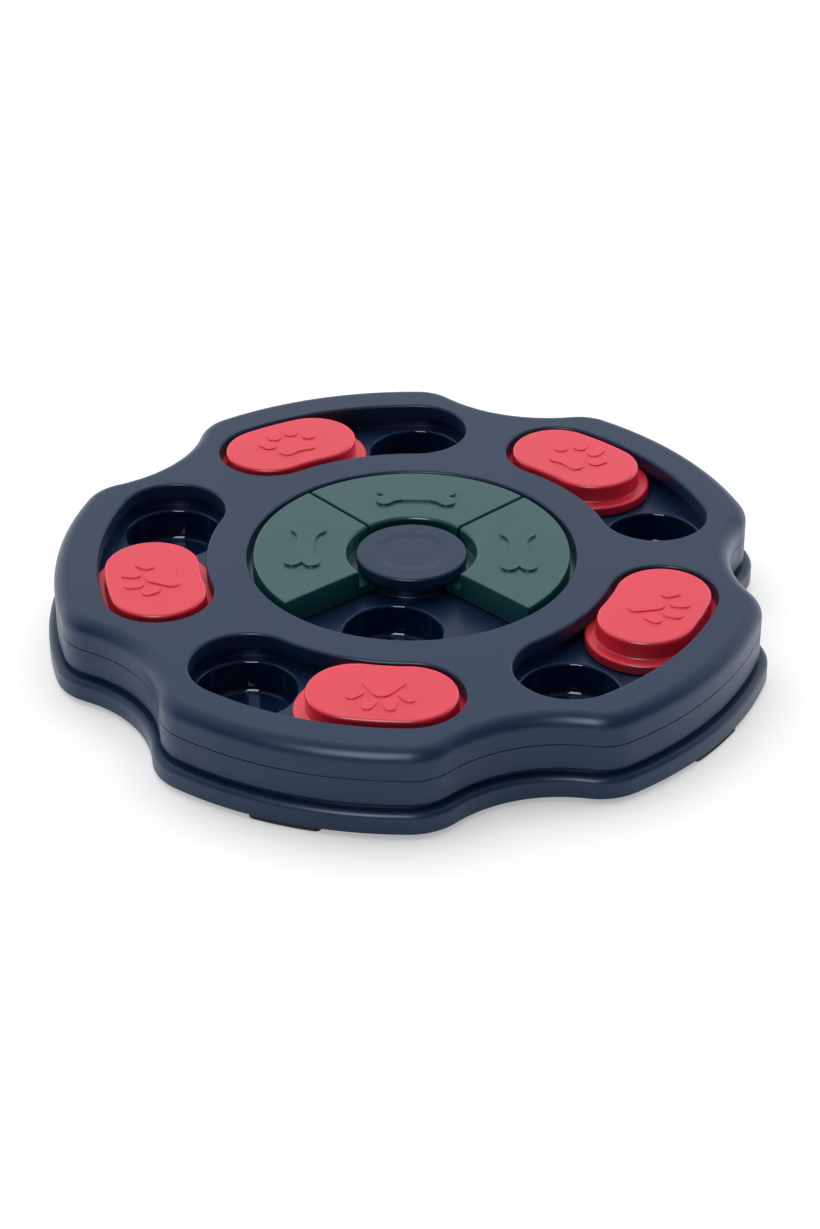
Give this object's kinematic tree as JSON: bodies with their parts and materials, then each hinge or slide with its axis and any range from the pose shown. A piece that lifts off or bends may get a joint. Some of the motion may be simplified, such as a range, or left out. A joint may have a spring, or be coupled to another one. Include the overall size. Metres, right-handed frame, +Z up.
{
  "type": "dog puzzle feeder",
  "caption": "Low lobed case with round food wells, curved sliders around the rim and sliding ring segments around a centre cap.",
  "frame": {"origin": "on the case's axis, at the surface that the foot pads stand on", "axes": "+Z up; +X and +Y run through two of the centre wells, and -Y runs out between the free centre well and the first slot, which faces the front"},
  "size_m": [0.2498, 0.2498, 0.0306],
  "materials": {
    "case_plastic": "satin moulded ABS, grey navy",
    "tray_plastic": "polished moulded ABS, deep navy",
    "slider_plastic": "fine-textured moulded plastic, coral red",
    "segment_plastic": "fine-textured moulded plastic, dark green",
    "screw_steel": "zinc-plated",
    "pad_rubber": "matt soft rubber"
  },
  "bodies": {
    "base": {"lower_case": "case_plastic", "top_cover": "case_plastic", "outer_tray_1": "tray_plastic", "outer_tray_2": "tray_plastic", "outer_tray_3": "tray_plastic", "outer_tray_4": "tray_plastic", "outer_tray_5": "tray_plastic", "centre_tray": "tray_plastic", "centre_cap": "case_plastic", "cap_screw": "screw_steel", "case_screws": "screw_steel", "foot_pad_1": "pad_rubber", "foot_pad_2": "pad_rubber", "foot_pad_3": "pad_rubber", "foot_pad_4": "pad_rubber", "foot_pad_5": "pad_rubber"},
    "slider_1": {"slider_1": "slider_plastic"},
    "slider_2": {"slider_2": "slider_plastic"},
    "slider_3": {"slider_3": "slider_plastic"},
    "slider_4": {"slider_4": "slider_plastic"},
    "slider_5": {"slider_5": "slider_plastic"},
    "segment_1": {"segment_1": "segment_plastic"},
    "segment_2": {"segment_2": "segment_plastic"},
    "segment_3": {"segment_3": "segment_plastic"}
  },
  "joints": [
    {"name": "slider_1_travel", "type": "hinge", "parent": "base", "child": "slider_1", "pos_m": [0, 0, 0], "axis": [0, 0, 1], "range_deg": [-25.4, 0]},
    {"name": "slider_2_travel", "type": "hinge", "parent": "base", "child": "slider_2", "pos_m": [0, 0, 0], "axis": [0, 0, 1], "range_deg": [-25.4, 0]},
    {"name": "slider_3_travel", "type": "hinge", "parent": "base", "child": "slider_3", "pos_m": [0, 0, 0], "axis": [0, 0, 1], "range_deg": [-25.4, 0]},
    {"name": "slider_4_travel", "type": "hinge", "parent": "base", "child": "slider_4", "pos_m": [0, 0, 0], "axis": [0, 0, 1], "range_deg": [-25.4, 0]},
    {"name": "slider_5_travel", "type": "hinge", "parent": "base", "child": "slider_5", "pos_m": [0, 0, 0], "axis": [0, 0, 1], "range_deg": [-25.4, 0]},
    {"name": "segment_1_turn", "type": "hinge", "parent": "base", "child": "segment_1", "pos_m": [0, 0, 0], "axis": [0, 0, 1], "continuous": true},
    {"name": "segment_2_travel", "type": "hinge", "parent": "segment_1", "child": "segment_2", "pos_m": [0, 0, 0], "axis": [0, 0, 1], "range_deg": [0, 47]},
    {"name": "segment_3_travel", "type": "hinge", "parent": "segment_1", "child": "segment_3", "pos_m": [0, 0, 0], "axis": [0, 0, 1], "range_deg": [-47, 0]}
  ]
}
